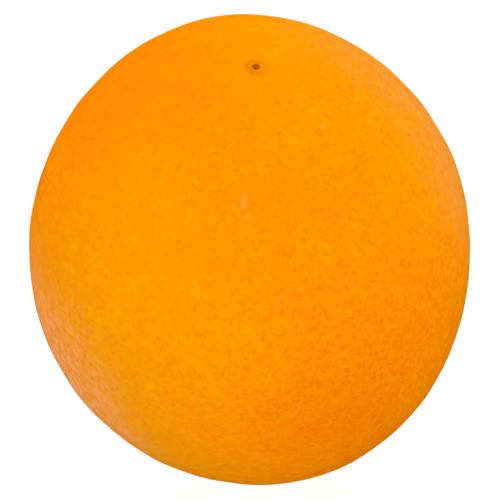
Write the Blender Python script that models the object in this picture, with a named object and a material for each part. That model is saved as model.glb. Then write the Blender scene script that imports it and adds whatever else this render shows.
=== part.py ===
"""A whole orange, standing on its stem end with the blossom end up.

Metres, +Z up, -Y is the front. The fruit's own axis runs along +Z. The origin lies on the surface
that the fruit rests on, below the middle of its box.
"""
import math
import random

import bmesh
import bpy
from mathutils import Vector

MM = 0.001
TURN = 2 * math.pi

# The body is an ellipsoid whose long axis leans to the left, seen from the front
HALF_WIDTH = 40.0 * MM
HALF_DEPTH = 41.4 * MM
HALF_LENGTH = 42.5 * MM
LEAN = math.radians(6.0)

# Broad swellings and flats: azimuth from the front, elevation, height in mm
SWELLINGS = ((-165, 45, 0.90), (-30, -45, -0.45), (30, -45, 0.25), (85, -5, -0.65))
SWELLING_SPREAD = math.radians(30)

# The body sinks this far into the resting plane, which cuts the flat spot that it stands on
FLAT_CUT = 1.4 * MM
FLAT_BLEND = 0.35 * MM

# Rows of points from pole to pole, a multiple of 3 between the poles and each cap's edge
ROWS_PER_CAP = 21
SECTORS = 5
FIRST_ROW = 2
LAST_ROW_FROM_BOTTOM = 5
LOWER_PHASE = TURN / (2 * SECTORS)

# The pits of the oil glands, larger than life: one on every third point of the rows
PIT_DEPTH = 0.20 * MM
PIT_VARIATION = 0.75
LAND_WAVINESS = 0.04 * MM
UNEVENNESS = 0.14
PEEL_SEED = 4

# The stylar scar at the top: a small pit, a low lip and a ring groove around it
SCAR_PIT_RADIUS = 0.55 * MM
SCAR_PIT_DEPTH = 0.45 * MM
SCAR_LIP_RADIUS = 0.95 * MM
SCAR_LIP_HEIGHT = 0.08 * MM
SCAR_RING_RADIUS = 1.9 * MM
SCAR_RING_DEPTH = 0.16 * MM
SCAR_RING_WIDTH = 0.35 * MM

# The hollow at the stem end, with furrows running down its wall
HOLLOW_MOUTH_RADIUS = 5.9 * MM
HOLLOW_WALL_RADIUS = 4.95 * MM
HOLLOW_FLOOR_RADIUS = 4.15 * MM
HOLLOW_DEPTH = 2.0 * MM
FURROWS = 10
FURROW_DEPTH = 0.22 * MM
FLAT_OUTER_RADIUS = 8.3 * MM

# The calyx button: a five-lobed disc in the hollow, with a stub of stalk below it
CALYX_RADIUS = 3.4 * MM
CALYX_LOBES = 5
CALYX_LOBE_HEIGHT = 0.42 * MM
CALYX_TOP = 1.62 * MM
CALYX_THICKNESS = 0.65 * MM
STALK_RADIUS = 1.15 * MM
STALK_END = 0.45 * MM
CALYX_POINTS = 40

PEEL_COLOUR = (0.95, 0.27, 0.008, 1)
PEEL_ROUGHNESS = 0.42
CALYX_COLOUR = (0.085, 0.062, 0.026, 1)
CALYX_ROUGHNESS = 0.8


def direction(azimuth, polar):
    """A unit vector: azimuth from the front, seen from above anticlockwise; polar angle from the top."""
    level = math.sin(polar)
    return Vector((level * math.sin(azimuth), -level * math.cos(azimuth), math.cos(polar)))


def body_radius(towards):
    """How far the smooth body reaches from the fruit's middle."""
    across = towards.x * math.cos(LEAN) + towards.z * math.sin(LEAN)
    along = towards.z * math.cos(LEAN) - towards.x * math.sin(LEAN)
    squares = (across / HALF_WIDTH) ** 2 + (towards.y / HALF_DEPTH) ** 2 + (along / HALF_LENGTH) ** 2
    radius = 1 / math.sqrt(squares)
    for azimuth, elevation, height in SWELLINGS:
        centre = direction(math.radians(azimuth), math.radians(90 - elevation))
        spread = towards.angle(centre) / SWELLING_SPREAD
        radius += height * MM * math.exp(-spread ** 2)
    return radius


MIDDLE_HEIGHT = body_radius(Vector((0, 0, -1))) - FLAT_CUT


def on_body(azimuth, polar, relief=0.0):
    """A point of the skin, with the underside pressed flat on the resting plane."""
    towards = direction(azimuth, polar)
    point = towards * (body_radius(towards) + relief)
    height = point.z + MIDDLE_HEIGHT
    if height < -FLAT_BLEND:
        height = 0.0
    elif height < FLAT_BLEND:
        height = (height + FLAT_BLEND) ** 2 / (4 * FLAT_BLEND)
    return Vector((point.x, point.y, height))


def row(count, phase, point_at):
    """One closed row of points: its first azimuth and the points at even steps from there."""
    return phase, [point_at(phase + TURN * step / count) for step in range(count)]


def scar_relief(radius):
    """The height of the scar's lip and groove over the smooth body."""
    if radius <= SCAR_PIT_RADIUS:
        return -SCAR_PIT_DEPTH
    lip = SCAR_LIP_HEIGHT * math.exp(-((radius - SCAR_LIP_RADIUS) / SCAR_RING_WIDTH) ** 2)
    groove = SCAR_RING_DEPTH * math.exp(-((radius - SCAR_RING_RADIUS) / SCAR_RING_WIDTH) ** 2)
    return lip - groove


def scar_rows():
    """Rows at the top, from the scar's middle outwards."""
    rings = ((1, 0.0), (6, SCAR_PIT_RADIUS * 0.6), (9, SCAR_PIT_RADIUS * 1.15), (12, SCAR_LIP_RADIUS),
             (12, SCAR_RING_RADIUS - SCAR_RING_WIDTH), (15, SCAR_RING_RADIUS),
             (15, SCAR_RING_RADIUS + SCAR_RING_WIDTH))
    top = body_radius(Vector((0, 0, 1)))
    return [
        row(count, 0.0, lambda azimuth, r=radius: on_body(azimuth, math.asin(r / top), scar_relief(r)))
        for count, radius in rings
    ]


def lattice_row(number):
    """How many points a row of the lattice has, its first azimuth and its height on a unit ball."""
    from_bottom = 3 * ROWS_PER_CAP - number
    if number <= ROWS_PER_CAP:
        return SECTORS * number, 0.0, 1 - number ** 2 / (2 * ROWS_PER_CAP ** 2)
    if from_bottom <= ROWS_PER_CAP:
        return SECTORS * from_bottom, LOWER_PHASE, from_bottom ** 2 / (2 * ROWS_PER_CAP ** 2) - 1
    in_belt = (number - ROWS_PER_CAP) / ROWS_PER_CAP
    return SECTORS * ROWS_PER_CAP, LOWER_PHASE * in_belt, 0.5 - in_belt


def is_pit(number, step):
    """Every third point of the lattice, in step from row to row over the caps and the belt."""
    from_bottom = 3 * ROWS_PER_CAP - number
    if number <= ROWS_PER_CAP:
        return (step % number + number) % 3 == 0
    if from_bottom <= ROWS_PER_CAP:
        return (step % from_bottom + from_bottom) % 3 == 0
    return (step + 2 * (number - ROWS_PER_CAP)) % 3 == 0


def peel_rows():
    """Rows of a triangular lattice over the body, a little uneven, with a pit on every third point."""
    random.seed(PEEL_SEED)
    rows = []
    for number in range(FIRST_ROW, 3 * ROWS_PER_CAP - LAST_ROW_FROM_BOTTOM + 1):
        count, phase, height = lattice_row(number)
        points = []
        for step in range(count):
            azimuth = phase + TURN * (step + random.uniform(-UNEVENNESS, UNEVENNESS)) / count
            polar = math.acos(height) + random.uniform(-UNEVENNESS, UNEVENNESS) / ROWS_PER_CAP
            pit = PIT_DEPTH * random.uniform(1 - PIT_VARIATION, 1 + PIT_VARIATION)
            land = random.uniform(-LAND_WAVINESS, LAND_WAVINESS)
            points.append(on_body(azimuth, polar, -pit if is_pit(number, step) else land))
        rows.append((phase, points))
    return rows


def flat_point(radius, height):
    """A rule for a point at a set radius and height, for the stem end's level rings."""
    return lambda azimuth: Vector((radius * math.sin(azimuth), -radius * math.cos(azimuth), height))


def furrowed_point(radius, height):
    """The same, on the hollow's wall, where the furrows rise and fall around it."""
    return lambda azimuth: flat_point(radius, height + FURROW_DEPTH * math.cos(FURROWS * azimuth))(azimuth)


def stem_end_rows():
    """Rows at the bottom, from the flat ring that carries the fruit in to the hollow's middle."""
    around = 4 * FURROWS
    rings = (
        (around, flat_point(FLAT_OUTER_RADIUS, 0.0)),
        (around, flat_point(HOLLOW_MOUTH_RADIUS, 0.0)),
        (around, furrowed_point(HOLLOW_WALL_RADIUS, 0.55 * HOLLOW_DEPTH)),
        (around, flat_point(HOLLOW_FLOOR_RADIUS, 0.95 * HOLLOW_DEPTH)),
        (around // 2, flat_point(0.6 * HOLLOW_FLOOR_RADIUS, HOLLOW_DEPTH)),
        (around // 4, flat_point(0.25 * HOLLOW_FLOOR_RADIUS, HOLLOW_DEPTH)),
        (1, flat_point(0.0, HOLLOW_DEPTH)),
    )
    return [row(count, LOWER_PHASE, point_at) for count, point_at in rings]


def calyx_edge(azimuth):
    """The button's outline from above: five blunt lobes."""
    return CALYX_RADIUS + CALYX_LOBE_HEIGHT * math.cos(CALYX_LOBES * azimuth)


def calyx_rows():
    """Rows of the button from the middle of its top, over its edge, to the end of the stalk."""
    underside = CALYX_TOP - CALYX_THICKNESS

    def ring(share, height, droop=0.0):
        def point_at(azimuth):
            radius = share * calyx_edge(azimuth)
            return flat_point(radius, height - droop * math.cos(CALYX_LOBES * azimuth))(azimuth)
        return point_at

    return [
        row(1, 0.0, flat_point(0.0, CALYX_TOP)),
        row(CALYX_POINTS // 2, 0.0, ring(0.5, CALYX_TOP)),
        row(CALYX_POINTS, 0.0, ring(0.88, CALYX_TOP - 0.06 * MM, 0.06 * MM)),
        row(CALYX_POINTS, 0.0, ring(1.0, CALYX_TOP - 0.3 * MM, 0.10 * MM)),
        row(CALYX_POINTS, 0.0, ring(0.92, underside, 0.10 * MM)),
        row(CALYX_POINTS, 0.0, ring(0.62, underside - 0.05 * MM, 0.05 * MM)),
        row(CALYX_POINTS // 2, 0.0, flat_point(1.15 * STALK_RADIUS, underside - 0.10 * MM)),
        row(CALYX_POINTS // 2, 0.0, flat_point(STALK_RADIUS, STALK_END + 0.12 * MM)),
        row(CALYX_POINTS // 2, 0.0, flat_point(0.88 * STALK_RADIUS, STALK_END)),
        row(1, 0.0, flat_point(0.0, STALK_END)),
    ]


def stitch(bm, upper, lower):
    """Triangles between two closed rows, each time across the shorter diagonal."""
    upper_phase, upper_verts = upper
    lower_phase, lower_verts = lower
    upper_step = TURN / len(upper_verts)
    lower_step = TURN / len(lower_verts)
    i = j = 0
    upper_end = len(upper_verts) if len(upper_verts) > 1 else 0
    lower_end = len(lower_verts) if len(lower_verts) > 1 else 0
    while i < upper_end or j < lower_end:
        above = upper_verts[i % len(upper_verts)]
        below = lower_verts[j % len(lower_verts)]
        gap = lower_phase + lower_step * j - upper_phase - upper_step * i
        along_upper = i < upper_end and (j == lower_end or abs(gap - upper_step) <= abs(gap + lower_step))
        if along_upper:
            bm.faces.new((above, below, upper_verts[(i + 1) % len(upper_verts)]))
            i += 1
        else:
            bm.faces.new((above, below, lower_verts[(j + 1) % len(lower_verts)]))
            j += 1


def solid_through(name, rows, colour, roughness):
    """A closed object through rows of points that run from one end of the piece to the other."""
    bm = bmesh.new()
    placed = [(phase, [bm.verts.new(point) for point in points]) for phase, points in rows]
    for upper, lower in zip(placed, placed[1:]):
        stitch(bm, upper, lower)
    bmesh.ops.recalc_face_normals(bm, faces=bm.faces)
    mesh = bpy.data.meshes.new(name)
    bm.to_mesh(mesh)
    bm.free()
    mesh.shade_smooth()
    mesh.materials.append(plain_material(name, colour, roughness))
    piece = bpy.data.objects.new(name, mesh)
    bpy.context.scene.collection.objects.link(piece)
    return piece


def plain_material(name, colour, roughness):
    """A non-metal of one colour."""
    material = bpy.data.materials.new(name)
    material.use_nodes = True
    shader = material.node_tree.nodes["Principled BSDF"]
    shader.inputs["Base Color"].default_value = colour
    shader.inputs["Roughness"].default_value = roughness
    shader.inputs["Metallic"].default_value = 0.0
    return material


def centre_over_origin(pieces, widest):
    """Shift every piece sideways together, so that the widest one's box has its middle at the origin."""
    for axis in (0, 1):
        places = [vertex.co[axis] for vertex in widest.data.vertices]
        shift = -(min(places) + max(places)) / 2
        for piece in pieces:
            for vertex in piece.data.vertices:
                vertex.co[axis] += shift


def build():
    for old in list(bpy.data.objects):
        bpy.data.objects.remove(old, do_unlink=True)
    peel = scar_rows() + peel_rows() + stem_end_rows()
    fruit = solid_through("orange_fruit", peel, PEEL_COLOUR, PEEL_ROUGHNESS)
    button = solid_through("calyx_button", calyx_rows(), CALYX_COLOUR, CALYX_ROUGHNESS)
    centre_over_origin([fruit, button], fruit)


build()
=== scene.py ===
"""The looks of a whole orange: its pitted peel, stylar scar and calyx button, in soft studio light."""

import math

import bpy
import numpy as np
from mathutils import Matrix, Vector
from mathutils.kdtree import KDTree


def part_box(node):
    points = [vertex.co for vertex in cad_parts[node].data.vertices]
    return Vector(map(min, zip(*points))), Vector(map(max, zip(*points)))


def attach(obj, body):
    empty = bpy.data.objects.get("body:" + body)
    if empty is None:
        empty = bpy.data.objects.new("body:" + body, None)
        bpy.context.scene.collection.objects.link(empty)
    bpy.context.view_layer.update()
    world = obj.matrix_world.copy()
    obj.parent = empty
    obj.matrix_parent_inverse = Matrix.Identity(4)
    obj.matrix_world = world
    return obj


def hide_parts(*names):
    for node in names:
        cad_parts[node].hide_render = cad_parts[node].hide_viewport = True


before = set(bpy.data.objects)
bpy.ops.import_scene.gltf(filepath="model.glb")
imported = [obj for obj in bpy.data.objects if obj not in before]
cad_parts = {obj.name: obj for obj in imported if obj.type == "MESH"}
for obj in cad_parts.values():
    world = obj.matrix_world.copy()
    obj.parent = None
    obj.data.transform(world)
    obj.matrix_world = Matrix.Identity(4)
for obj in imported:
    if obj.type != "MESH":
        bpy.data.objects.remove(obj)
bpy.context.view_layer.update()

MM = 0.001
TURN = 2 * math.pi

# Places on the fruit have an azimuth from the front and an elevation, in degrees.
# The body, as in the part, is a leaning ellipsoid with broad swellings and flats: place and height in mm.
HALF_WIDTH = 40.0 * MM
HALF_DEPTH = 41.4 * MM
HALF_LENGTH = 42.5 * MM
LEAN = math.radians(6.0)
SWELLINGS = ((-165, 45, 0.90), (-30, -45, -0.45), (30, -45, 0.25), (85, -5, -0.65))
SWELLING_SPREAD = 30
FLAT_CUT = 1.4 * MM
FLAT_BLEND = 0.35 * MM

# The peel's lattice: rows from pole to pole, closer together round the scar and the stem end
SECTORS = 5
PORE_ROWS = 33
ROWS_PER_PORE = 3
CROWDING = 0.5
CROWDING_REACH = 0.17

# Oil glands: one pore for each point of the coarse lattice, shifted by chance, by a share of their spacing.
# Round each pole they stay, out to one share of the ball's radius, and come free over a second share.
PORE_SEED = 11
PORE_SHIFT = 0.37
STILL_POLE = 0.10
STILL_POLE_BLEND = 0.15
NEAREST_PORES = 3
PORE_RADIUS = 0.62 * MM
PORE_DEPTH = 0.045 * MM

# Each pore's strength is drawn from a beta distribution with these two shape values.
# The weakest pore still has this share of the depth.
PORE_STRENGTHS = (2.2, 1.7)
SHALLOWEST_PORE = 0.35

# The pores fade towards the scar: the share left there, and where and how gently it rises to one
SCAR_PORE_SHARE = 0.15
SCAR_PORE_START = 2.2 * MM
SCAR_PORE_BLEND = 8.0 * MM

# How clearly the pores show: everywhere, and more round some places, each with its spread and what it adds
FAINTEST_PORES = 0.30
BOLD_PORES = (
    (42, 2, 38, 0.72),
    (-5, -8, 30, 0.26),
    (0, 60, 45, 0.44),
    (180, 0, 60, 0.45),
    (-52, 0, 22, 0.34),
)

# Low waves of the peel, as a sum of random ripples
WAVE_SEED = 5
WAVE_COUNT = 40
WAVE_LENGTHS = (6 * MM, 22 * MM)
WAVE_HEIGHT = 0.035 * MM

# The stylar scar on top: a pit, a lip round it and a shallow groove round the lip
SCAR_PIT_RADIUS = 0.62 * MM
SCAR_PIT_MOUTH = 1.25 * SCAR_PIT_RADIUS
SCAR_PIT_WALL = 0.7 * SCAR_PIT_RADIUS
SCAR_PIT_DEPTH = 0.45 * MM
SCAR_LIP_RADIUS = 0.95 * MM
SCAR_LIP_HEIGHT = 0.08 * MM
SCAR_RING_RADIUS = 1.6 * MM
SCAR_RING_DEPTH = 0.05 * MM
SCAR_RING_WIDTH = 0.35 * MM

# The hollow at the stem end. The furrows' place, width and blend are shares of its wall.
HOLLOW_MOUTH_RADIUS = 5.9 * MM
HOLLOW_FLOOR_RADIUS = 4.15 * MM
HOLLOW_DEPTH = 2.0 * MM
FURROWS = 10
FURROW_DEPTH = 0.22 * MM
FURROW_PLACE = 0.5
FURROW_WIDTH = 0.45
FURROW_BLEND = 0.25

# The ceiling of the hollow comes down to the calyx, which grows on it
SEAT_RADIUS = 2.6 * MM
SEAT_BLEND = 0.4 * SEAT_RADIUS
SEAT_DROP = 0.42 * MM

# The dry calyx: its outline has blunt lobes and small nicks
CALYX_RADIUS = 3.4 * MM
CALYX_LOBES = 5
CALYX_LOBE_HEIGHT = 0.42 * MM
CALYX_NICKS = 13
CALYX_NICK_HEIGHT = 0.05 * MM
CALYX_POINTS = 160
CALYX_ROWS = 64

# The calyx's profile from the middle of its top to the end of the stalk: share of the outline, height in mm.
# Inside the stalk's share the outline is round.
CALYX_PROFILE = (
    (0.0, 1.60), (0.35, 1.60), (0.70, 1.57), (0.88, 1.50), (0.97, 1.40), (1.0, 1.27), (0.98, 1.13),
    (0.91, 1.02), (0.80, 0.97), (0.66, 0.96), (0.52, 0.97), (0.43, 0.94), (0.37, 0.85), (0.34, 0.72),
    (0.33, 0.60), (0.31, 0.51), (0.27, 0.47), (0.18, 0.48), (0.08, 0.52), (0.0, 0.53),
)
STALK_SHARE = 0.34

# The calyx's veins: a main one to each lobe and finer ones between, strongest at a share of the radius
CALYX_VEIN_HEIGHT = 0.10 * MM
CALYX_VEIN_PLACE = 0.7
CALYX_VEIN_WIDTH = 0.22
FINE_VEINS = 20
FINE_VEIN_SHARE = 0.6

# The calyx's wrinkles, the smooth hidden top above the edge's height, and the lowest that anything reaches
CALYX_SEED = 3
CALYX_WRINKLE_HEIGHT = 0.045 * MM
CALYX_WRINKLES = (0.4 * MM, 1.4 * MM)
CALYX_EDGE_HEIGHT = 1.4 * MM
CALYX_EDGE_BLEND = 0.3 * MM
CALYX_LOWEST = 0.44 * MM

# The ribs of the stalk: their height as a share of its radius, and where they end as shares of the calyx's
STALK_RIBS = 9
STALK_RIB_HEIGHT = 0.03
STALK_RIBS_END = 0.5
STALK_RIBS_BLEND = 0.1

# The peel's colour runs through a range of green, and has broad changes: place, spread, change of green
PEEL_RED = 0.97
PEEL_GREEN = 0.287
PEEL_BLUE = 0.0002
GREEN_RANGE = (0.18, 0.38)
RIPENESS = (
    (30.5, -19, 28, -0.069),
    (-34, 18, 28, 0.062),
    (88, 56, 28, 0.040),
    (-103, 55, 28, -0.028),
    (172, 66, 20, 0.042),
    (-2, 18, 14, 0.022),
    (150, 10, 34, 0.030),
    (-140, -25, 30, -0.035),
    (100, -40, 26, 0.025),
    (10, -28, 34, 0.028),
    (85, 20, 26, 0.012),
    (-42, 52, 14, 0.022),
    (40, 74, 12, 0.018),
    (12, 0, 16, -0.030),
    (46, -13, 12, 0.037),
    (-28, -27, 14, 0.035),
    (-27, 18, 16, -0.020),
    (60, 45, 26, 0.004),
    (31, -3, 10, -0.010),
    (25, -20, 10, 0.015),
    (47, 13, 11, -0.016),
    (-85, 45, 24, -0.009),
    (8, 70, 8, 0.024),
    (-38, 35, 10, -0.008),
    (25, 42, 14, 0.008),
)

# Every noise of the materials has its features in each metre, its detail and its roughness.
# The peel's fine mottling is a sum of noises, each with the change of ripeness that it makes.
MOTTLES = (((1250, 2, 0.5), 0.42), ((240, 2, 0.5), 0.15), ((460, 1, 0.5), 0.42))

# A noise's middle values, which are stretched to full contrast
CONTRAST = (0.38, 0.62)
SOFT_CONTRAST = (0.35, 0.65)

# The pores' colour fades out between two distances in mm from a pore's middle. Smaller pores lie between
# them, in colour alone: how many in each metre, their disorder, and where they fade, in their spacings.
PORE_COLOUR = (0.85, 0.175, 0.0, 1)
PORE_EDGE = (0.80, 0.05)
PORE_SHARE = 0.64
SMALL_PORES = 960
SMALL_PORE_DISORDER = 0.75
SMALL_PORE_EDGE = (0.50, 0.10)
SMALL_PORE_SHARE = 0.60

# The peel's grain, and the wax on it: patchy, and thinner in the pores
GRAIN_NOISE = (720, 3, 0.6)
GRAIN_HEIGHT = 0.09 * MM
WAX_NOISE = (600, 2, 0.5)
WAX_RANGE = (0.13, 0.58)
WAX_PORE_EDGE = (0.0, 0.5)
WAX_IN_PORES = 0.7
WAX_ROUGHNESS = 0.3
WAX_IOR = 1.45
PEEL_ROUGHNESS = 0.5

# The scar's brown dot, the darker ring round it and the halo round both: where each fades, by the distance
# from the scar's middle. A noise makes the dot's edge ragged, and a broader one the ring's and the halo's.
# The ring is faint on one side and strong on the other, and changes over this distance to both sides.
SCAR_COLOUR = (0.335, 0.042, 0.0, 1)
SCAR_EDGE = (0.96 * MM, 0.34 * MM)
SCAR_NOISE = (1500, 2, 0.6)
SCAR_RAGGEDNESS = 0.5 * MM
RING_COLOUR = (0.74, 0.175, 0.0, 1)
RING_INSIDE = (0.95 * MM, 1.6 * MM)
RING_OUTSIDE = (2.5 * MM, 1.7 * MM)
RING_NOISE = (750, 2, 0.6)
RING_RAGGEDNESS = 1.6 * MM
RING_SIDE = 1.5 * MM
RING_SHARES = (0.08, 0.50)
HALO_EDGE = (2.9 * MM, 1.5 * MM)
HALO_SHARE = 0.25

# The dry calyx's colours. The edges are distances from its axis in mm, and a vein's is its height.
CALYX_BROWN = (0.085, 0.052, 0.020, 1)
CALYX_OLIVE = (0.20, 0.165, 0.060, 1)
CALYX_VEIN = (0.34, 0.27, 0.13, 1)
CALYX_DARK = (0.050, 0.030, 0.012, 1)
CALYX_BLOTCHES = (1100, 4, 0.65)
VEIN_EDGE = (0.0, 0.12)
VEIN_SHARE = 0.75
RIM_EDGE = (2.6, 3.6)
RIM_SHARE = 0.6
GROOVE_INSIDE = (1.0, 1.25)
GROOVE_OUTSIDE = (1.9, 1.4)
GROOVE_SHARE = 0.75
STALK_STRAW = (0.50, 0.38, 0.20, 1)
STALK_DARK = (0.24, 0.16, 0.075, 1)
STALK_FIBRES = (3800, 2, 0.6)
STALK_EDGE = (1.12, 0.92)
STALK_NOISE = (2600, 2, 0.6)
STALK_RAGGEDNESS = 0.5
STALK_COVER = 0.9
CALYX_GRAIN_NOISE = (3000, 3, 0.6)
CALYX_GRAIN_HEIGHT = 0.05 * MM
CALYX_ROUGHNESS = 0.8
CALYX_SPECULAR = 0.25

# Small pale marks on the peel: place, half length and half width in mm. Each fades between two distances,
# in its own half sizes, and a noise breaks it up.
MARK_COLOUR = (0.98, 0.45, 0.10, 1)
MARK_EDGE = (1.5, 0.3)
MARK_DEPTH = 3 * MM
MARK_NOISE = (1700, 2, 0.6)
MARK_SHARE = 0.42
MARKS = (
    (-3.3, 54.0, 0.90, 0.36),
    (-3.6, 52.3, 0.70, 0.55),
    (-1.6, 50.2, 0.75, 0.36),
    (46.1, 67.5, 0.52, 0.75),
    (-23.9, 56.0, 0.30, 0.20),
    (-13.4, 59.6, 0.24, 0.18),
    (-32.7, 28.2, 0.34, 0.22),
    (-2.7, -11.6, 0.30, 0.24),
    (-23.3, 16.5, 0.24, 0.18),
    (77.0, 68.2, 0.30, 0.18),
    (8.7, 83.2, 0.30, 0.18),
    (-26.8, -2.6, 0.26, 0.18),
)

# The camera of the photograph, aimed a little off the body's middle. Lens and sensor are in mm.
CAMERA_ELEVATION = math.radians(41.6)
CAMERA_ROLL = math.radians(1.38)
CAMERA_DISTANCE = 0.55
CAMERA_LENS = 219.55
CAMERA_SENSOR = 36
CAMERA_AIM = Vector((-0.29, 0.0, 0.58)) * MM

# The white table, just under the fruit, and the backdrop all round
FLOOR_SIZE = 6.0
FLOOR_DROP = 0.05 * MM
FLOOR_GREY = 0.14
FLOOR_GLOW = 0.94
BACKDROP_GLOW = 1.0

# The light tent's panels: name, heading from the fruit, distance in metres and power in watts.
# The lowest shines up through the white table.
PANEL_SIZE = 1.6
PANELS = (
    ("panel_top", (0.0, 0.0, 1.0), 1.4, 7.9),
    ("panel_front", (0.26, -0.95, 0.18), 1.4, 22.3),
    ("panel_back", (-0.57, 0.60, 0.57), 1.4, 15.3),
    ("panel_left", (-0.96, -0.14, 0.24), 1.4, 10.3),
    ("panel_right", (0.76, 0.56, 0.34), 1.4, 17.0),
    ("panel_below", (0.0, 0.0, -1.0), 0.1, 2.0),
)

# What the wax mirrors: heading, angle to the glow's edge, softness in degrees and radiance.
# The first two make one tall glow at the left.
GLOWS = (
    ((-0.457, 0.430, -0.779), 11, 9, 1.15),
    ((-0.678, 0.168, -0.716), 11, 8, 1.42),
    ((0.527, 0.829, -0.185), 21, 8, 0.46),
)


def unit(azimuth, elevation):
    """The unit vector towards a place."""
    azimuth, polar = math.radians(azimuth), math.radians(90 - elevation)
    level = math.sin(polar)
    return np.array((level * math.sin(azimuth), -level * math.cos(azimuth), math.cos(polar)))


def nearness(towards, azimuth, elevation, spread):
    """How near each unit vector is to a place, from one there down to nothing, by a spread in degrees."""
    gap = np.arccos(np.clip(towards @ unit(azimuth, elevation), -1, 1)) / math.radians(spread)
    return np.exp(-gap ** 2)


def patches(towards, level, places):
    """A level that changes round some places."""
    total = np.full(len(towards), level)
    for azimuth, elevation, spread, change in places:
        total += change * nearness(towards, azimuth, elevation, spread)
    return total


def body_radius(towards):
    """How far the smooth body reaches from its middle, for an array of unit vectors."""
    x, y, z = towards.T
    across = x * math.cos(LEAN) + z * math.sin(LEAN)
    along = z * math.cos(LEAN) - x * math.sin(LEAN)
    radius = 1 / np.sqrt((across / HALF_WIDTH) ** 2 + (y / HALF_DEPTH) ** 2 + (along / HALF_LENGTH) ** 2)
    for azimuth, elevation, height in SWELLINGS:
        radius += height * MM * nearness(towards, azimuth, elevation, SWELLING_SPREAD)
    return radius


MIDDLE_HEIGHT = body_radius(np.array([[0.0, 0.0, -1.0]]))[0] - FLAT_CUT


def lattice_row(number, rows_per_cap):
    """The count of points in a row, its first azimuth and its polar angle."""
    lower_phase = TURN / (2 * SECTORS)
    from_bottom = 3 * rows_per_cap - number
    if number <= rows_per_cap:
        count, phase, height = max(1, SECTORS * number), 0.0, 1 - number ** 2 / (2 * rows_per_cap ** 2)
    elif from_bottom <= rows_per_cap:
        count, phase = max(1, SECTORS * from_bottom), lower_phase
        height = from_bottom ** 2 / (2 * rows_per_cap ** 2) - 1
    else:
        in_belt = (number - rows_per_cap) / rows_per_cap
        count, phase, height = SECTORS * rows_per_cap, lower_phase * in_belt, 0.5 - in_belt
    return count, phase, crowded(math.acos(height))


def crowded(polar):
    """Draw the rows together near both poles."""
    pull = math.exp(-(polar / CROWDING_REACH) ** 2)
    push = math.exp(-((math.pi - polar) / CROWDING_REACH) ** 2)
    return polar * (1 - CROWDING * pull) + (math.pi - polar) * CROWDING * push


def ring(radius, azimuth, height):
    """Points round the axis at one height, each azimuth from the front."""
    return np.c_[radius * np.sin(azimuth), -radius * np.cos(azimuth), np.full(len(azimuth), height)]


def lattice(rows_per_cap):
    """Points of a triangular lattice on a unit ball and, for each row, its first point, count and phase."""
    points, rows, first = [], [], 0
    for number in range(3 * rows_per_cap + 1):
        count, phase, polar = lattice_row(number, rows_per_cap)
        azimuth = phase + TURN * np.arange(count) / count
        points.append(ring(math.sin(polar), azimuth, math.cos(polar)))
        rows.append((first, count, phase))
        first += count
    return np.concatenate(points), rows


def triangles(rows):
    """Triangles between neighbouring rows, each time across the shorter diagonal."""
    faces = []
    for (first_up, up, phase_up), (first_low, low, phase_low) in zip(rows, rows[1:]):
        step_up, step_low = TURN / up, TURN / low
        end_up, end_low = (up if up > 1 else 0), (low if low > 1 else 0)
        i = j = 0
        while i < end_up or j < end_low:
            above, below = first_up + i % up, first_low + j % low
            gap = phase_low + step_low * j - phase_up - step_up * i
            if i < end_up and (j == end_low or abs(gap - step_up) <= abs(gap + step_low)):
                i += 1
                faces.append((above, below, first_up + i % up))
            else:
                j += 1
                faces.append((above, below, first_low + j % low))
    return faces


def nearest_seats(points, seats):
    """For each point, the numbers of the seats nearest to it."""
    tree = KDTree(len(seats))
    for number, seat in enumerate(seats):
        tree.insert(seat, number)
    tree.balance()
    return np.array([[number for _, number, _ in tree.find_n(point, NEAREST_PORES)] for point in points])


def on_ball(points):
    """The points brought back to the unit ball."""
    return points / np.linalg.norm(points, axis=1)[:, None]


def pore_field(points, seats, chance):
    """Shift the pores by chance, and the points with them.

    Gives the points, and for each its distance from the nearest pore and that pore's strength and size.
    """
    spacing = math.sqrt(4 * math.pi / len(seats) * 2 / math.sqrt(3))
    nearest = nearest_seats(points, seats)
    near_pole = 1 - np.abs(seats[:, 2])
    local = spacing * (1 - CROWDING * np.exp(-2 * near_pole / CROWDING_REACH ** 2))
    free = smooth((np.hypot(seats[:, 0], seats[:, 1]) - STILL_POLE) / STILL_POLE_BLEND)
    shift = chance.uniform(-1, 1, seats.shape)
    shift *= (PORE_SHIFT * local * free / np.maximum(1, np.linalg.norm(shift, axis=1)))[:, None]
    gap = np.linalg.norm(points[:, None] - seats[nearest], axis=2) / local[nearest]
    weight = np.clip(1 - gap, 0.0, 1) + 1e-6
    weight /= weight.sum(1)[:, None]
    moved = on_ball(points + (weight[..., None] * shift[nearest]).sum(1))
    gaps = np.linalg.norm(moved[:, None] - on_ball(seats + shift)[nearest], axis=2)
    owner = nearest[np.arange(len(points)), gaps.argmin(1)]
    strength = chance.beta(*PORE_STRENGTHS, len(seats)) * patches(seats, FAINTEST_PORES, BOLD_PORES)
    size = local / spacing
    return moved, gaps.min(1) * HALF_WIDTH / size[owner], strength[owner], size[owner]


def waves(points, lengths, chance):
    """Random waves over the points, with a mean square of one."""
    total = np.zeros(len(points))
    for _ in range(WAVE_COUNT):
        heading = chance.normal(size=3)
        heading /= np.linalg.norm(heading)
        length = math.exp(chance.uniform(*np.log(lengths)))
        total += np.sin(TURN * points @ heading / length + chance.uniform(0, TURN))
    return total / math.sqrt(WAVE_COUNT / 2)


def bump(value, centre, width):
    """One at the centre, and fading out on both sides of it."""
    return np.exp(-((value - centre) / width) ** 2)


def smooth(share):
    """A soft step from zero to one."""
    share = np.clip(share, 0, 1)
    return share * share * (3 - 2 * share)


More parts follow.
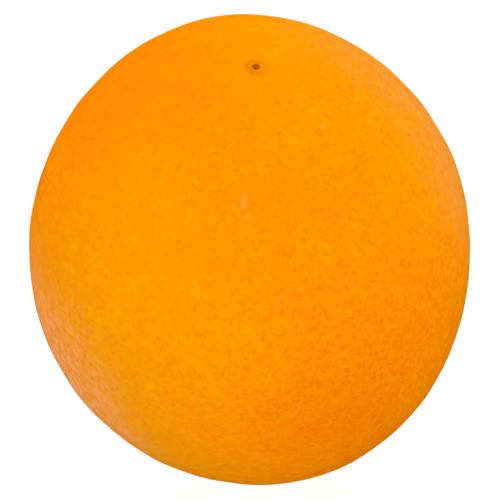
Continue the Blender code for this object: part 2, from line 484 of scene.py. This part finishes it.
def scar_relief(radius):
    """The height of the scar's pit, lip and groove over the body, by the distance from the axis."""
    pit = -SCAR_PIT_DEPTH * smooth((SCAR_PIT_MOUTH - radius) / SCAR_PIT_WALL)
    lip = SCAR_LIP_HEIGHT * bump(radius, SCAR_LIP_RADIUS, SCAR_RING_WIDTH)
    groove = -SCAR_RING_DEPTH * bump(radius, SCAR_RING_RADIUS, SCAR_RING_WIDTH)
    return pit + lip + groove


def press_flat(height):
    """Clamp heights at the resting plane, with a soft shoulder."""
    shoulder = (height + FLAT_BLEND) ** 2 / (4 * FLAT_BLEND)
    return np.where(height < -FLAT_BLEND, 0, np.where(height < FLAT_BLEND, shoulder, height))


def carve_hollow(points):
    """Sink the stem end's hollow with its furrows into the flat underside."""
    radius = np.hypot(points[:, 0], points[:, 1])
    azimuth = np.arctan2(points[:, 0], -points[:, 1])
    wall = (HOLLOW_MOUTH_RADIUS - radius) / (HOLLOW_MOUTH_RADIUS - HOLLOW_FLOOR_RADIUS)
    furrow = FURROW_DEPTH * np.cos(FURROWS * azimuth) * bump(wall, FURROW_PLACE, FURROW_WIDTH)
    depth = HOLLOW_DEPTH * smooth(wall) + furrow * smooth(wall / FURROW_BLEND)
    below = points[:, 2] < MIDDLE_HEIGHT
    seat = SEAT_DROP * smooth((SEAT_RADIUS - radius) / SEAT_BLEND)
    points[:, 2] += np.where(below, depth - seat, 0)


def mesh_object(name, points, faces):
    """A smooth-shaded piece from its points and faces."""
    mesh = bpy.data.meshes.new(name)
    mesh.from_pydata([tuple(p) for p in points], [], faces)
    mesh.validate()
    mesh.shade_smooth()
    piece = bpy.data.objects.new(name, mesh)
    bpy.context.scene.collection.objects.link(piece)
    return piece


def add_values(piece, name, values):
    """Keep one number for each point, for the material to read."""
    layer = piece.data.attributes.new(name, "FLOAT", "POINT")
    layer.data.foreach_set("value", np.asarray(values, np.float32))


def make_peel():
    """The whole fruit's skin."""
    chance = np.random.default_rng(PORE_SEED)
    seats, _ = lattice(PORE_ROWS)
    ball, rows = lattice(PORE_ROWS * ROWS_PER_PORE)
    towards, pore_gap, pore_strength, pore_size = pore_field(ball, seats, chance)
    smooth_radius = body_radius(towards)
    from_axis = np.hypot(towards[:, 0], towards[:, 1]) * smooth_radius
    on_top = towards[:, 2] > 0
    away = smooth((from_axis - SCAR_PORE_START) / SCAR_PORE_BLEND)
    near_scar = np.where(on_top, SCAR_PORE_SHARE + (1 - SCAR_PORE_SHARE) * away, 1)
    pore = smooth(1 - pore_gap / PORE_RADIUS) * near_scar
    relief = -PORE_DEPTH * pore_size * pore * (SHALLOWEST_PORE + (1 - SHALLOWEST_PORE) * pore_strength)
    on_body = towards * smooth_radius[:, None]
    relief += WAVE_HEIGHT * waves(on_body, WAVE_LENGTHS, np.random.default_rng(WAVE_SEED))
    relief += np.where(on_top, scar_relief(from_axis), 0)
    points = towards * (smooth_radius + relief)[:, None]
    points[:, 2] = press_flat(points[:, 2] + MIDDLE_HEIGHT)
    carve_hollow(points)
    piece = mesh_object("orange_peel", points, triangles(rows))
    add_values(piece, "pore_gap", pore_gap / MM)
    add_values(piece, "pore_strength", pore_strength * near_scar)
    add_values(piece, "small_strength", patches(towards, FAINTEST_PORES, BOLD_PORES) ** 2 * near_scar)
    add_values(piece, "ripeness", ripeness(towards))
    return piece


def ripeness(towards):
    """How far the peel has turned, from deep orange at 0 to yellow orange at 1."""
    low, high = GREEN_RANGE
    return (patches(towards, PEEL_GREEN, RIPENESS) - low) / (high - low)


def calyx_edge(azimuth):
    """The calyx's outline from above: five blunt lobes, a little uneven."""
    lobes = CALYX_LOBE_HEIGHT * np.cos(CALYX_LOBES * azimuth)
    return CALYX_RADIUS + lobes + CALYX_NICK_HEIGHT * np.sin(CALYX_NICKS * azimuth + 1)


def calyx_rings():
    """The calyx's smooth surface in rings and, for each ring, its first point, count and phase."""
    knots = np.array(CALYX_PROFILE)
    along = np.linspace(0, len(knots) - 1, CALYX_ROWS)
    shares = np.interp(along, range(len(knots)), knots[:, 0])
    heights = np.interp(along, range(len(knots)), knots[:, 1]) * MM
    points, rows, first = [], [], 0
    for share, height in zip(shares, heights):
        count = CALYX_POINTS if share > 0 else 1
        azimuth = TURN * np.arange(count) / count
        edge = calyx_edge(azimuth) if share > STALK_SHARE else CALYX_RADIUS
        points.append(ring(share * edge, azimuth, height))
        rows.append((first, count, 0.0))
        first += count
    return np.concatenate(points), rows


def make_calyx():
    """The dry button with its veins and the stub of the stalk."""
    points, rows = calyx_rings()
    radius = np.hypot(points[:, 0], points[:, 1])
    azimuth = np.arctan2(points[:, 0], -points[:, 1])
    leafy = bump(radius / CALYX_RADIUS, CALYX_VEIN_PLACE, CALYX_VEIN_WIDTH)
    veins = np.cos(CALYX_LOBES * azimuth) + FINE_VEIN_SHARE * np.cos(FINE_VEINS * azimuth + 1)
    relief = CALYX_VEIN_HEIGHT * leafy * veins
    relief += CALYX_WRINKLE_HEIGHT * waves(points, CALYX_WRINKLES, np.random.default_rng(CALYX_SEED))
    relief *= smooth((CALYX_EDGE_HEIGHT - points[:, 2]) / CALYX_EDGE_BLEND)
    points[:, 2] = np.maximum(points[:, 2] - relief, CALYX_LOWEST)
    on_stalk = smooth((STALK_RIBS_END - radius / CALYX_RADIUS) / STALK_RIBS_BLEND)
    ribs = 1 + STALK_RIB_HEIGHT * np.cos(STALK_RIBS * azimuth) * on_stalk
    points[:, :2] *= ribs[:, None]
    piece = mesh_object("dry_calyx", points, triangles(rows))
    add_values(piece, "vein", relief / MM)
    add_values(piece, "from_axis", radius / MM)
    return piece


def make_camera(middle):
    """The photograph's view."""
    back = Vector((0, -math.cos(CAMERA_ELEVATION), math.sin(CAMERA_ELEVATION)))
    right, up = Vector((1, 0, 0)), back.cross(Vector((1, 0, 0)))
    tilted = right * math.cos(CAMERA_ROLL) + up * math.sin(CAMERA_ROLL)
    data = bpy.data.cameras.new("camera")
    data.lens = CAMERA_LENS
    data.sensor_width = CAMERA_SENSOR
    camera = bpy.data.objects.new("camera", data)
    turn = Matrix((tilted, back.cross(tilted), back)).transposed()
    camera.matrix_world = Matrix.Translation(middle + CAMERA_AIM + back * CAMERA_DISTANCE) @ turn.to_4x4()
    bpy.context.scene.collection.objects.link(camera)
    bpy.context.scene.camera = camera


def soft_panel(name, heading, distance, power):
    """A square panel of the light tent. It lights the peel's colour alone, and its reflection isn't seen."""
    data = bpy.data.lights.new(name, "AREA")
    data.energy = power
    data.size = PANEL_SIZE
    light = bpy.data.objects.new(name, data)
    heading = Vector(heading).normalized()
    light.location = heading * distance
    light.rotation_euler = heading.to_track_quat("Z", "Y").to_euler()
    light.visible_glossy = False
    light.visible_camera = False
    data.cycles.use_multiple_importance_sampling = False
    bpy.context.scene.collection.objects.link(light)


class Nodes:
    """Short calls for building one node tree."""

    def __init__(self, tree):
        """Keep the tree that the nodes go into."""
        self.tree = tree

    def feed(self, socket, value):
        """Give a socket a number or a colour, or link another socket to it."""
        if isinstance(value, bpy.types.NodeSocket):
            self.tree.links.new(value, socket)
        else:
            socket.default_value = value

    def add(self, kind, settings=None, **inputs):
        """A node with properties set, and inputs by name, or by number as in i0."""
        node = self.tree.nodes.new(kind)
        for key, value in (settings or {}).items():
            setattr(node, key, value)
        for key, value in inputs.items():
            numbered = key[0] == "i" and key[1:].isdigit()
            self.feed(node.inputs[int(key[1:]) if numbered else key.replace("_", " ")], value)
        return node

    def math(self, operation, first, second, clamp=False):
        """A sum, product or the like of two values."""
        settings = {"operation": operation, "use_clamp": clamp}
        return self.add("ShaderNodeMath", settings, i0=first, i1=second).outputs[0]

    def remap(self, value, low, high, to_low=0.0, to_high=1.0):
        """A soft step between two values, from one result to another."""
        node = self.add("ShaderNodeMapRange", {"interpolation_type": "SMOOTHSTEP"}, Value=value,
                        From_Min=low, From_Max=high, To_Min=to_low, To_Max=to_high)
        return node.outputs[0]

    def mix(self, factor, first, second):
        """A blend of two colours."""
        node = self.add("ShaderNodeMix", {"data_type": "RGBA"}, i0=factor, i6=first, i7=second)
        return node.outputs[2]

    def place(self):
        """The piece's own coordinates."""
        return self.add("ShaderNodeTexCoord").outputs["Object"]

    def noise(self, scale, detail, roughness):
        """Noise around one half."""
        node = self.add("ShaderNodeTexNoise", Vector=self.place(), Scale=scale, Detail=detail,
                        Roughness=roughness)
        return node.outputs[0]

    def ripple(self, noise, height):
        """Noise around zero."""
        return self.math("MULTIPLY", self.math("SUBTRACT", self.noise(*noise), 0.5), height)

    def ragged(self, value, noise, height):
        """A value with noise on it."""
        return self.math("ADD", value, self.ripple(noise, height))

    def cells(self, scale, disorder):
        """The distance from the nearest point of an irregular lattice, in the lattice's own spacing."""
        node = self.add("ShaderNodeTexVoronoi", Vector=self.place(), Scale=scale, Randomness=disorder)
        return node.outputs["Distance"]

    def grain(self, noise, height):
        """A fine unevenness of the surface."""
        return self.add("ShaderNodeBump", Height=self.noise(*noise), Distance=height).outputs[0]

    def value(self, name):
        """A number that each point of the mesh holds."""
        return self.add("ShaderNodeAttribute", {"attribute_name": name}).outputs["Fac"]


def new_material(name):
    """A material, the calls for its nodes, and its shader."""
    material = bpy.data.materials.new(name)
    material.use_nodes = True
    return material, Nodes(material.node_tree), material.node_tree.nodes["Principled BSDF"]


def set_looks(nodes, shader, looks):
    """Feed the shader's inputs by name."""
    for name, value in looks.items():
        nodes.feed(shader.inputs[name], value)


def peel_material(offset):
    """Waxy orange peel: broad ripeness, fine mottling, darker pores, pale marks and the brown scar."""
    material, nodes, shader = new_material("peel")
    low, high = GREEN_RANGE
    ripe = nodes.math("ADD", nodes.value("ripeness"), mottling(nodes))
    colour = nodes.mix(ripe, (PEEL_RED, low, PEEL_BLUE, 1), (PEEL_RED, high, PEEL_BLUE, 1))
    pore = nodes.remap(nodes.value("pore_gap"), *PORE_EDGE)
    pore = nodes.math("MULTIPLY", pore, nodes.value("pore_strength"))
    small = nodes.cells(SMALL_PORES, SMALL_PORE_DISORDER)
    small = nodes.remap(small, *SMALL_PORE_EDGE, 0.0, SMALL_PORE_SHARE)
    small = nodes.math("MULTIPLY", small, nodes.value("small_strength"))
    shade = nodes.math("ADD", nodes.math("MULTIPLY", pore, PORE_SHARE), small, clamp=True)
    colour = nodes.mix(shade, colour, PORE_COLOUR)
    colour = nodes.mix(pale_marks(nodes, offset), colour, MARK_COLOUR)
    grain = nodes.grain(GRAIN_NOISE, GRAIN_HEIGHT)
    wax = nodes.remap(nodes.noise(*WAX_NOISE), *CONTRAST, *WAX_RANGE)
    wax = nodes.math("MULTIPLY", wax, nodes.remap(pore, *WAX_PORE_EDGE, 1.0, WAX_IN_PORES))
    set_looks(nodes, shader, {
        "Base Color": scar_colour(nodes, offset, colour),
        "Roughness": PEEL_ROUGHNESS,
        "Specular IOR Level": 0.0,
        "Normal": grain,
        "Coat Weight": wax,
        "Coat Roughness": WAX_ROUGHNESS,
        "Coat IOR": WAX_IOR,
        "Coat Normal": grain,
    })
    return material


def mottling(nodes):
    """Small changes of ripeness to both sides of none."""
    total = 0.0
    for noise, height in MOTTLES:
        total = nodes.ragged(total, noise, height)
    return total


def pale_marks(nodes, offset):
    """Where the small pale marks are, each a soft ellipse that lies along the peel."""
    place = nodes.place()
    total = 0.0
    for azimuth, elevation, length, width in MARKS:
        towards = unit(azimuth, elevation)
        centre = Vector(towards * body_radius(towards[None])[0]) + offset + Vector((0, 0, MIDDLE_HEIGHT))
        turn = Vector(towards).to_track_quat("Z", "Y").to_euler()
        size = (width * MM, length * MM, MARK_DEPTH)
        local = nodes.add("ShaderNodeMapping", {"vector_type": "TEXTURE"}, Vector=place, Location=centre,
                          Rotation=turn, Scale=size).outputs[0]
        reach = nodes.add("ShaderNodeVectorMath", {"operation": "LENGTH"}, i0=local).outputs["Value"]
        total = nodes.math("ADD", total, nodes.remap(reach, *MARK_EDGE))
    broken = nodes.remap(nodes.noise(*MARK_NOISE), *CONTRAST)
    return nodes.math("MULTIPLY", nodes.math("MULTIPLY", total, broken), MARK_SHARE, clamp=True)


def scar_colour(nodes, offset, colour):
    """The colour with the scar's brown dot on it, and round it the one-sided ring and the faint halo."""
    place = nodes.place()
    top = offset + Vector((0, 0, MIDDLE_HEIGHT + HALF_LENGTH))
    gap = nodes.add("ShaderNodeVectorMath", {"operation": "DISTANCE"}, i0=place, i1=top).outputs["Value"]
    gap = nodes.ragged(gap, SCAR_NOISE, SCAR_RAGGEDNESS)
    wide = nodes.ragged(gap, RING_NOISE, RING_RAGGEDNESS)
    halo = nodes.remap(wide, *HALO_EDGE, 0.0, HALO_SHARE)
    band = nodes.math("MULTIPLY", nodes.remap(wide, *RING_INSIDE), nodes.remap(wide, *RING_OUTSIDE))
    across = nodes.add("ShaderNodeSeparateXYZ", Vector=place).outputs["X"]
    one_sided = nodes.remap(across, top.x + RING_SIDE, top.x - RING_SIDE, *RING_SHARES)
    shade = nodes.math("ADD", halo, nodes.math("MULTIPLY", band, one_sided))
    colour = nodes.mix(shade, colour, RING_COLOUR)
    return nodes.mix(nodes.remap(gap, *SCAR_EDGE), colour, SCAR_COLOUR)


def calyx_material():
    """Dry brown-green tissue, paler on the veins, darker in the groove round the straw-coloured stalk."""
    material, nodes, shader = new_material("calyx")
    from_axis = nodes.value("from_axis")
    blotch = nodes.remap(nodes.noise(*CALYX_BLOTCHES), *SOFT_CONTRAST)
    colour = nodes.mix(blotch, CALYX_BROWN, CALYX_OLIVE)
    vein = nodes.remap(nodes.value("vein"), *VEIN_EDGE, 0.0, VEIN_SHARE)
    colour = nodes.mix(vein, colour, CALYX_VEIN)
    rim = nodes.math("MULTIPLY", nodes.remap(from_axis, *RIM_EDGE), blotch)
    colour = nodes.mix(nodes.math("MULTIPLY", rim, RIM_SHARE), colour, CALYX_VEIN)
    groove = nodes.remap(from_axis, *GROOVE_OUTSIDE, 0.0, GROOVE_SHARE)
    groove = nodes.math("MULTIPLY", nodes.remap(from_axis, *GROOVE_INSIDE), groove)
    colour = nodes.mix(groove, colour, CALYX_DARK)
    fibres = nodes.remap(nodes.noise(*STALK_FIBRES), *SOFT_CONTRAST)
    stalk = nodes.ragged(from_axis, STALK_NOISE, STALK_RAGGEDNESS)
    stalk = nodes.remap(stalk, *STALK_EDGE, 0.0, STALK_COVER)
    set_looks(nodes, shader, {
        "Base Color": nodes.mix(stalk, colour, nodes.mix(fibres, STALK_DARK, STALK_STRAW)),
        "Roughness": CALYX_ROUGHNESS,
        "Specular IOR Level": CALYX_SPECULAR,
        "Normal": nodes.grain(CALYX_GRAIN_NOISE, CALYX_GRAIN_HEIGHT),
    })
    return material


def plain_emitter(name, glow, grey):
    """A matt surface of an even grey with a glow of its own."""
    material, nodes, shader = new_material(name)
    set_looks(nodes, shader, {
        "Base Color": (grey, grey, grey, 1),
        "Roughness": 1.0,
        "Specular IOR Level": 0.0,
        "Emission Color": (1, 1, 1, 1),
        "Emission Strength": glow,
    })
    return material


def make_stage():
    """A white table that the light from below comes through, and a white backdrop for the camera."""
    bpy.ops.mesh.primitive_plane_add(size=FLOOR_SIZE, location=(0, 0, -FLOOR_DROP))
    stage_piece("floor", plain_emitter("floor", FLOOR_GLOW, FLOOR_GREY))
    bpy.ops.mesh.primitive_uv_sphere_add(radius=FLOOR_SIZE / 2)
    stage_piece("backdrop", plain_emitter("backdrop", BACKDROP_GLOW, 0.0))


def stage_piece(name, material):
    """Name the object just made, hide it from reflections, bounced light and shadows, and give it its
    material.
    """
    piece = bpy.context.object
    piece.name = name
    piece.visible_glossy = False
    piece.visible_diffuse = False
    piece.visible_shadow = False
    piece.data.materials.append(material)


def make_world():
    """A dark studio with soft glows, which the wax mirrors through the table and the camera never sees."""
    world = bpy.data.worlds.new("studio")
    world.use_nodes = True
    world.cycles.sampling_method = "NONE"
    bpy.context.scene.world = world
    nodes = Nodes(world.node_tree)
    towards = nodes.add("ShaderNodeTexCoord").outputs["Generated"]
    strength = 0.0
    for heading, reach, softness, radiance in GLOWS:
        centre = tuple(Vector(heading).normalized())
        near = nodes.add("ShaderNodeVectorMath", {"operation": "DOT_PRODUCT"}, i0=towards, i1=centre)
        outer = math.cos(math.radians(reach + softness))
        inner = math.cos(math.radians(reach - softness))
        glow = nodes.remap(near.outputs["Value"], outer, inner, 0.0, radiance)
        strength = nodes.math("MAXIMUM", strength, glow)
    set_looks(nodes, world.node_tree.nodes["Background"], {"Color": (1, 1, 1, 1), "Strength": strength})


def settle(piece):
    """Stand the piece where the part's box is."""
    low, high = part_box("orange_fruit")
    places = np.array([vertex.co for vertex in piece.data.vertices])
    middle = (places.min(0) + places.max(0)) / 2
    return Vector(((low.x + high.x) / 2 - middle[0], (low.y + high.y) / 2 - middle[1], 0))


peel = make_peel()
offset = settle(peel)
peel.data.transform(Matrix.Translation(offset))
peel.data.materials.append(peel_material(offset))
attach(peel, "root")
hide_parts("orange_fruit")

calyx = make_calyx()
calyx.data.transform(Matrix.Translation(offset))
calyx.data.materials.append(calyx_material())
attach(calyx, "root")
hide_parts("calyx_button")

make_camera(offset + Vector((0, 0, MIDDLE_HEIGHT)))
make_stage()
make_world()
for panel in PANELS:
    soft_panel(*panel)
bpy.context.scene.view_settings.view_transform = "Standard"
